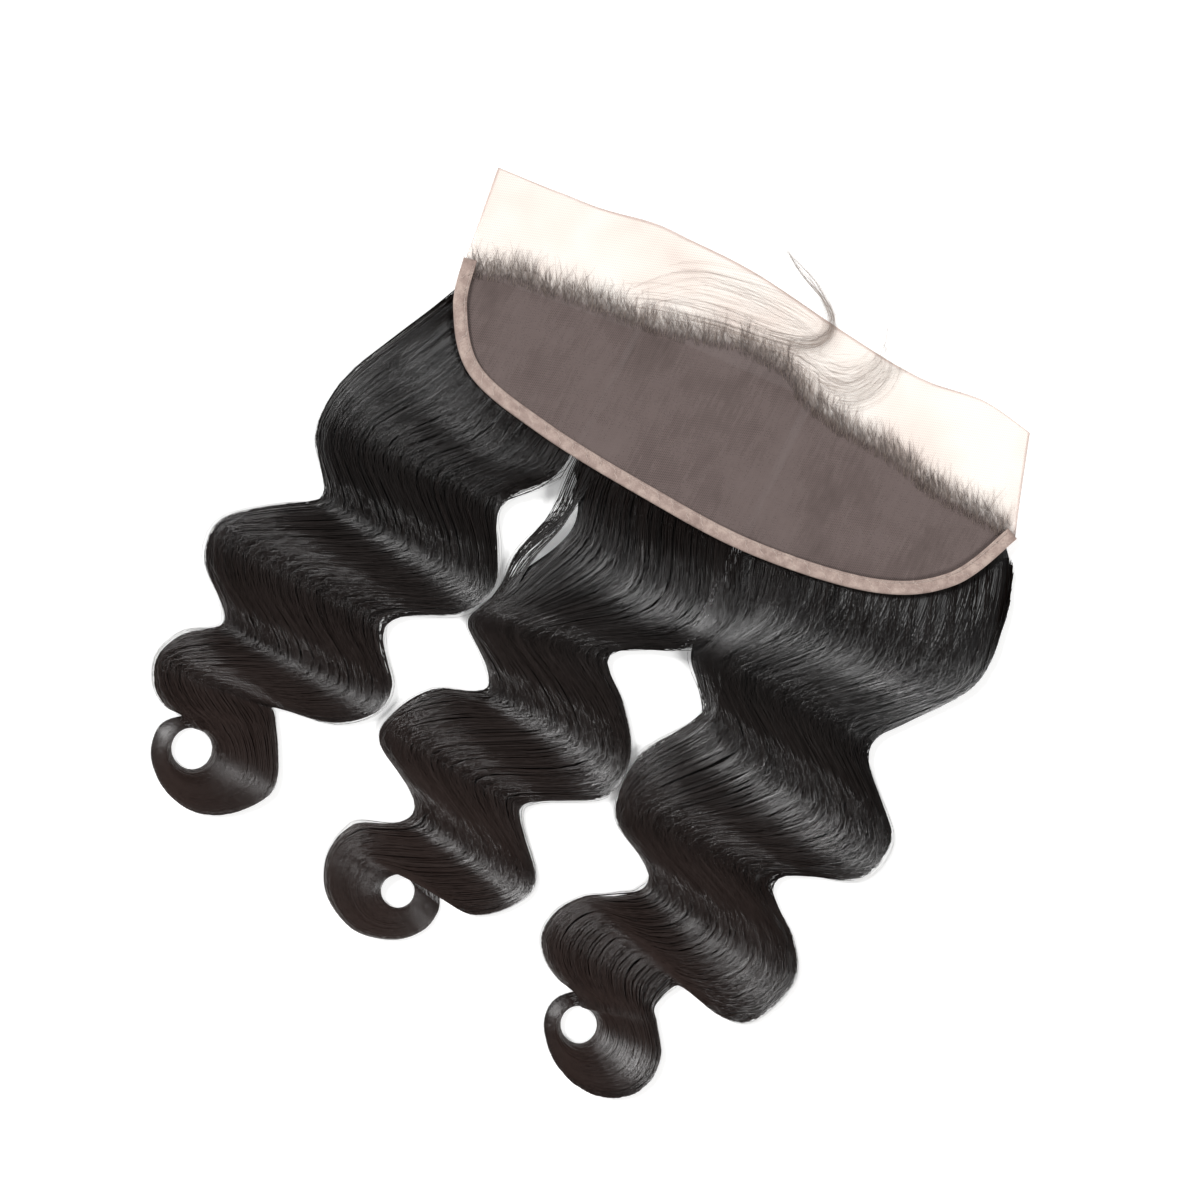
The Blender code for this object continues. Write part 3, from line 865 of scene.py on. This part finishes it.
def swayed(stations, join, across, along, waves, body_rows):
    """Across places of a strand moved by the first bend and by the fuller waves, and its sheen under painted
    shade.
    """
    at = along * (len(stations) - 1 - DENSE)
    x, back = lock_surface(stations, join, across, along)[:2]
    place, bend_back, bend_shift, bend_painted_sheen = np.array(FIRST_BEND).T
    past_bend = back / LACE_WIDTH - np.interp(x / LACE_WIDTH, place, bend_back)
    inside = 1.0 - np.minimum(1.0, np.abs(2.0 * across - 1.0)) ** 4
    near_bend = np.exp(-((past_bend / BEND_SPAN) ** 2))
    shift = LACE_WIDTH * np.interp(x / LACE_WIDTH, place, bend_shift) * near_bend
    shift = shift * np.maximum(inside, held(join, across, at / DENSE))
    shift = shift + np.interp(at, np.arange(len(stations)), waves) * inside
    width = np.interp(at, np.arange(len(stations)), stations[:, 2] - stations[:, 0])
    body = np.clip((body_rows - 1.0 - at / DENSE) / 2.0, 0.0, 1.0)
    # Painted shade: the sheen is turned down at the first bend and just behind the tape
    painted_bend_shade = (1.0 - np.interp(x / LACE_WIDTH, place, bend_painted_sheen)) * np.exp(-((past_bend / SHEEN_SPAN) ** 2))
    lit = np.clip(1.0 + (past_bend + ROOT_SHADE_LEAD) / ROOT_SHADE_SPAN, ROOT_SHADE, 1.0) * (1.0 - painted_bend_shade)
    return across + body * shift / np.maximum(LEAST_WIDTH * LACE_WIDTH, width), lit


for name, rows, join, hole, curl, close, rim_is_left, seed in LOCKS:
    rng = np.random.default_rng(seed)
    stations = lock_stations(rows, hole, curl, close, rim_is_left)
    past_end = DENSE / (len(stations) - 1 - DENSE)
    waves = fuller_waves(stations, len(rows))

    # Inner body
    rings = []
    for along_lock in np.linspace(0.0, CORE_END, len(stations) - DENSE):
        left_side = CORE_SIDE + SLIT_CORE * slit_width(name, along_lock)
        spread = np.linspace(left_side, 1.0 - CORE_SIDE, CORE_ACROSS)
        x, back, z = lock_surface(stations, join, spread, np.full(CORE_ACROSS, along_lock), CORE_SHRINK)
        ring = [Vector(p) for p in placed(x, back, z)]
        for near, far in ((-1, 0), (0, -1)):
            foot_x = x[near] * (1.0 - CORE_TUCK) + x[far] * CORE_TUCK
            foot_back = back[near] * (1.0 - CORE_TUCK) + back[far] * CORE_TUCK
            ring.append(Vector(placed(foot_x, foot_back, 0.0)))
        rings.append(ring)
    core = loft(name + "_core", rings)
    core.data.materials.append(core_hair)
    finish_piece(core, name + "_dark", name)

    # Strands
    paths = []
    radii = []
    lit = []
    tones = []
    for _ in range(STRANDS):
        first = rng.uniform(*STRAND_START)
        last = 1.0 + past_end - STRAND_SHORT * rng.random() ** STRAND_SHORT_POWER
        along_lock = np.linspace(first, last, STRAND_POINTS)
        home = rng.random()
        if rng.random() < EDGE_HAIRS:
            home = 0.5 + 0.5 * math.copysign(1.0 - EDGE_BAND * rng.random(), home - 0.5)
        bundle = noise.noise(Vector((home * BUNDLES, seed, 0.0)))
        wisp = noise.noise(Vector((home * WISPS, seed, 5.0)))
        gathered = np.clip(1.1 * wisp + 0.9 * bundle, -1.0, 1.0)
        tones.append(0.5 + 0.4 * gathered + 0.1 * rng.random())
        tress = (math.floor(home * TRESS_COUNT) + 0.5) / TRESS_COUNT
        pull = TRESS_PULL * along_lock * (0.6 + 0.4 * np.sin(along_lock * 9.0 + tress * 23.0))
        fade = np.sin(math.pi * np.minimum(1.0, along_lock))
        drift = WANDER * np.sin(along_lock * 24.0 + 5.0 * bundle + 6.0 * wisp) * fade
        across = np.clip(home + (tress - home) * pull + drift, 0.0, 1.0)
        row = along_lock * (len(stations) - 1 - DENSE) / DENSE
        seam = np.abs(2.0 * across - 1.0) ** 10 * (rng.random() - 0.08) * SEAM_SHARE
        across = across + held(join, across, row, SEAM_REACH) * np.where(across < 0.5, seam, -seam)
        if home < SLIT_MIDDLE:
            beside_slit = np.minimum(across, SLIT_MIDDLE - SLIT_HALF)
        else:
            beside_slit = np.maximum(across, SLIT_MIDDLE + SLIT_HALF)
        across = across + (beside_slit - across) * slit_width(name, along_lock)
        # The strand's sheen takes painted shade behind the tape and at the first bend
        across, sheen = swayed(stations, join, across, along_lock, waves, len(rows))
        lit.append(sheen)
        x, back, z = lock_surface(stations, join, across, along_lock)
        side = np.minimum(1.0, np.abs(2.0 * across - 1.0)) ** 6
        depth = rng.random() ** 1.5
        open_side = np.where(across < 0.5, join[0] == 0, join[1] == 0)
        z = z * (1.0 - depth * (SINK_TOP + SINK_SIDE * side * open_side))
        z = z + RIPPLE * np.sin(along_lock * 40.0 + home * 90.0)
        paths.append(placed(x, back, np.maximum(z, STRAND_RADIUS)))
        thin = STRAND_RADIUS * rng.uniform(0.7, 1.2)
        radii.append(thin * np.clip((last - along_lock) / STRAND_TAPER, 0.25, 1.0))
    strands = tubes(name + "_strands", paths, radii, strand=tones, lit=lit)
    strands.data.materials.append(strand_hair)
    finish_piece(strands, name + "_dark")

    # Flyaways
    paths = []
    radii = []
    for _ in range(FLYAWAYS):
        first = rng.uniform(*FLYAWAY_START)
        last = min(1.0, first + rng.uniform(*FLYAWAY_LENGTH))
        along_lock = np.linspace(first, last, FLYAWAY_POINTS)
        outside = FLYAWAY_REACH[0] + FLYAWAY_REACH[1] * rng.random() ** 2
        swell = np.sin(math.pi * (along_lock - first) / (last - first))
        across = (1.0 + outside * swell) if rng.random() < 0.5 else (-outside * swell)
        x, back, z = lock_surface(stations, join, across, along_lock)
        z = np.maximum(0.0004, z * rng.uniform(*FLYAWAY_HEIGHT))
        paths.append(placed(x, back, z))
        radii.append(FLYAWAY_RADIUS * np.clip((last - along_lock) / 0.1, 0.3, 1.0))
    fly = tubes(name + "_flyaways", paths, radii, strand=rng.random(FLYAWAYS), lit=np.ones(FLYAWAYS))
    fly.data.materials.append(strand_hair)
    finish_piece(fly, name + "_dark")


# Hairline hairs
# Short fine hairs tied along the front of the knotted zone and brushed forward over the bare margin.
# They stand in clumps and taper to their tips.
HAIRLINE_HAIRS = 3000
HAIRLINE_POINTS = 7
HAIRLINE_RADIUS = 0.00010
HAIRLINE_SPAN = (-0.494, 0.498)
# Roots: how far they lie ahead of and behind the front of the knots. Hair: shortest, and how much longer
HAIRLINE_ROOTS = (-0.003, 0.008)
HAIRLINE_SHORTEST = 0.005
HAIRLINE_LONGER = 0.010
HAIRLINE_LEAN = -0.46
HAIRLINE_LEAN_SPREAD = 0.22
HAIRLINE_BEND_SPREAD = 0.4
CLUMPS = 160.0
# Height over the net: least, and how much more
ABOVE_NET = (0.0001, 0.0003)


def lace_top(x, back):
    """Height just over the net, or over the table in front of it."""
    ahead = back_at(FRONT_EDGE, x)
    down = np.maximum(0.0, (back - ahead) / (back_at(REAR_EDGE, x) - ahead))
    return lace_under(x, back) + fold_rise(x, down) + LACE_WALL - NET_THICK


rng = np.random.default_rng(5)
paths = []
radii = []
for _ in range(HAIRLINE_HAIRS):
    x0 = rng.uniform(*HAIRLINE_SPAN) * LACE_WIDTH
    clump = 0.5 + 0.5 * noise.noise(Vector((x0 * CLUMPS, 0.0, 7.0)))
    back0 = float(back_at(KNOT_FRONT, x0)) + rng.uniform(*HAIRLINE_ROOTS)
    reach = (HAIRLINE_SHORTEST + HAIRLINE_LONGER * rng.random() ** 1.6) * (0.7 + 0.9 * clump)
    lean = rng.normal(HAIRLINE_LEAN + 0.35 * (clump - 0.5), HAIRLINE_LEAN_SPREAD)
    bend = rng.normal(0.0, HAIRLINE_BEND_SPREAD)
    turn = lean + bend * np.linspace(0.0, 1.0, HAIRLINE_POINTS)
    x = x0 + np.cumsum(np.sin(turn)) * reach / HAIRLINE_POINTS
    back = back0 - np.cumsum(np.cos(turn)) * reach / HAIRLINE_POINTS
    z = lace_top(x, back) + ABOVE_NET[0] + ABOVE_NET[1] * rng.random()
    paths.append(placed(x, back, z))
    radii.append(HAIRLINE_RADIUS * np.linspace(1.0, 0.2, HAIRLINE_POINTS))
fringe = tubes("hairline_hairs", paths, radii, strand=rng.random(HAIRLINE_HAIRS))
# Fine hair with tapered tips: lighter than the locks, a soft brown-grey that differs from hair to hair
mat, tree, shader = new_material("fine_hairline_hair", Roughness=0.5)
share = node(tree, "ShaderNodeAttribute", attribute_name="strand").outputs["Fac"]
tone = node(tree, "ShaderNodeValToRGB", ((0, share),), ((0.0, "4a3f3b"), (1.0, "8f7f75")))
tree.links.new(tone.outputs[0], shader.inputs["Base Color"])
fringe.data.materials.append(mat)
finish_piece(fringe, "hair_middle_dark")


# Baby hairs
# Loose longer hairs from the hairline, swept along over the bare margin and curling out past its front edge.
# They lie in eight sweeps, each following one smooth line.
# Each sweep: hairs, their radius, and rows of across, back (shares of the lace width), half spread (metres)
BABY_SWEEPS = (
    (
        70,
        0.000050,
        (
            (-0.275, -0.032, 0.006),
            (-0.190, -0.072, 0.008),
            (-0.090, -0.096, 0.008),
            (0.007, -0.110, 0.008),
            (0.066, -0.129, 0.007),
            (0.084, -0.158, 0.006),
            (0.069, -0.190, 0.004),
            (0.040, -0.216, 0.003),
        ),
    ),
    (
        46,
        0.000045,
        (
            (-0.242, -0.058, 0.008),
            (-0.195, -0.105, 0.010),
            (-0.143, -0.138, 0.010),
            (-0.081, -0.150, 0.010),
            (-0.019, -0.155, 0.010),
            (0.040, -0.152, 0.009),
            (0.079, -0.140, 0.008),
            (0.083, -0.118, 0.006),
        ),
    ),
    (
        26,
        0.000070,
        (
            (0.020, -0.110, 0.003),
            (0.062, -0.128, 0.003),
            (0.084, -0.156, 0.0028),
            (0.072, -0.186, 0.0024),
            (0.025, -0.222, 0.0018),
            (-0.028, -0.243, 0.0012),
            (-0.058, -0.256, 0.0006),
        ),
    ),
    (
        16,
        0.000070,
        (
            (0.040, -0.118, 0.003),
            (0.078, -0.146, 0.003),
            (0.087, -0.170, 0.0026),
            (0.063, -0.200, 0.0020),
            (0.009, -0.223, 0.0014),
            (-0.026, -0.243, 0.0008),
            (-0.045, -0.262, 0.0004),
        ),
    ),
    (
        60,
        0.000050,
        (
            (0.012, -0.087, 0.005),
            (0.066, -0.090, 0.006),
            (0.118, -0.079, 0.007),
            (0.160, -0.087, 0.008),
            (0.186, -0.117, 0.008),
            (0.193, -0.150, 0.007),
            (0.177, -0.176, 0.005),
            (0.153, -0.183, 0.003),
        ),
    ),
    (
        34,
        0.000050,
        (
            (0.040, -0.105, 0.006),
            (0.079, -0.095, 0.006),
            (0.115, -0.096, 0.007),
            (0.148, -0.111, 0.007),
            (0.168, -0.139, 0.006),
            (0.171, -0.170, 0.004),
        ),
    ),
    (
        10,
        0.000055,
        (
            (0.150, -0.108, 0.003),
            (0.173, -0.143, 0.003),
            (0.176, -0.182, 0.002),
            (0.166, -0.220, 0.0014),
            (0.164, -0.256, 0.0008),
        ),
    ),
    (
        12,
        0.000050,
        (
            (0.170, -0.105, 0.003),
            (0.200, -0.138, 0.003),
            (0.227, -0.168, 0.002),
            (0.236, -0.202, 0.0014),
            (0.237, -0.231, 0.0008),
        ),
    ),
)
BABY_POINTS = 26
# How hairs spread over a sweep and wander along it (shares of its half spread), and the swings they make
BABY_SPREAD = 0.55
BABY_WANDER = 0.35
BABY_SWINGS = (2.0, 6.0)
FULL_TURN = 6.28
paths = []
radii = []
for count, thin, rows in BABY_SWEEPS:
    dense = smooth_rows(rows, 8)
    line = dense[:, :2] * LACE_WIDTH
    run = np.gradient(line, axis=0)
    run /= np.linalg.norm(run, axis=1)[:, None]
    normal = np.stack([-run[:, 1], run[:, 0]], axis=1)
    for _ in range(count):
        start = int(rng.integers(0, len(line) // 2))
        stop = len(line) - int(rng.integers(0, len(line) // 3))
        offset = rng.normal(0.0, BABY_SPREAD)
        swing = np.linspace(0.0, rng.uniform(*BABY_SWINGS), len(line)) + rng.uniform(0.0, FULL_TURN)
        p = line + normal * (dense[:, 2] * (offset + BABY_WANDER * np.sin(swing)))[:, None]
        at = np.linspace(start, stop - 1, BABY_POINTS)
        x, back = [np.interp(at, np.arange(len(p)), p[:, axis]) for axis in range(2)]
        z = lace_top(x, back) + ABOVE_NET[0] + ABOVE_NET[1] * rng.random()
        paths.append(placed(x, back, z))
        radii.append(thin * np.linspace(1.0, 0.35, BABY_POINTS))
baby = tubes("baby_hairs", paths, radii, strand=rng.random(len(paths)))
# Baby hair is the finest and the lightest, a warm brown
mat, tree, shader = new_material("baby_hair", Roughness=0.5)
share = node(tree, "ShaderNodeAttribute", attribute_name="strand").outputs["Fac"]
tone = node(tree, "ShaderNodeValToRGB", ((0, share),), ((0.0, "6a5c55"), (1.0, "b3a296")))
tree.links.new(tone.outputs[0], shader.inputs["Base Color"])
baby.data.materials.append(mat)
finish_piece(baby, "hair_middle_dark")


# Floor
# A smooth white light table that the piece lies on, faintly lit from below.
FLOOR_HALF = 2.2
FLOOR_DROP = 0.0002
bm = bmesh.new()
bmesh.ops.create_grid(bm, x_segments=8, y_segments=8, size=FLOOR_HALF)
floor = new_piece("floor", bm)
floor.location.z = -FLOOR_DROP
mat, tree, shader = new_material("white_acrylic_light_table", Roughness=0.7, Specular_IOR_Level=0.1)
shader.inputs["Base Color"].default_value = rgba("fbfbfa")
shader.inputs["Emission Color"].default_value = rgba("ffffff")
shader.inputs["Emission Strength"].default_value = 0.30
floor.data.materials.append(mat)


# Light
# Two broad soft lights from the ear sides, so that sheen falls where strands run straight back, and an even
# white room.
# Columns: name, direction that the light comes from, strength, width of its disc in degrees
LIGHTS = (
    ("soft_light_left", (-1.25, 0.25, 0.95), 3.4, 24.0),
    ("soft_light_right", (1.20, -0.35, 0.95), 2.7, 24.0),
)
ROOM_STRENGTH = 0.18
for name, place, strength, disc in LIGHTS:
    data = bpy.data.lights.new(name, "SUN")
    data.energy = strength
    data.angle = math.radians(disc)
    lamp = bpy.data.objects.new(name, data)
    lamp.location = place
    lamp.rotation_euler = (-Vector(place)).to_track_quat("-Z", "Y").to_euler()
    scene.collection.objects.link(lamp)
world = bpy.data.worlds.new("white_room")
world.use_nodes = True
world.node_tree.nodes["Background"].inputs["Color"].default_value = rgba("ffffff")
world.node_tree.nodes["Background"].inputs["Strength"].default_value = ROOM_STRENGTH
scene.world = world
scene.view_settings.view_transform = "Standard"
scene.view_settings.exposure = 0.0


# Camera
# Straight above, turned so that the ear-to-ear line runs down to the right as in the photograph.
VIEW_WIDTH = 0.6563
VIEW_ROLL = math.radians(26.4)
VIEW_MIDDLE = (-0.0191, 0.1340)
LENS = 85.0
SENSOR = 36.0
data = bpy.data.cameras.new("camera")
data.lens = LENS
data.sensor_width = SENSOR
camera = bpy.data.objects.new("camera", data)
camera.location = placed(VIEW_MIDDLE[0], VIEW_MIDDLE[1], VIEW_WIDTH * LENS / SENSOR)
camera.rotation_euler = (0.0, 0.0, VIEW_ROLL)
scene.collection.objects.link(camera)
scene.camera = camera
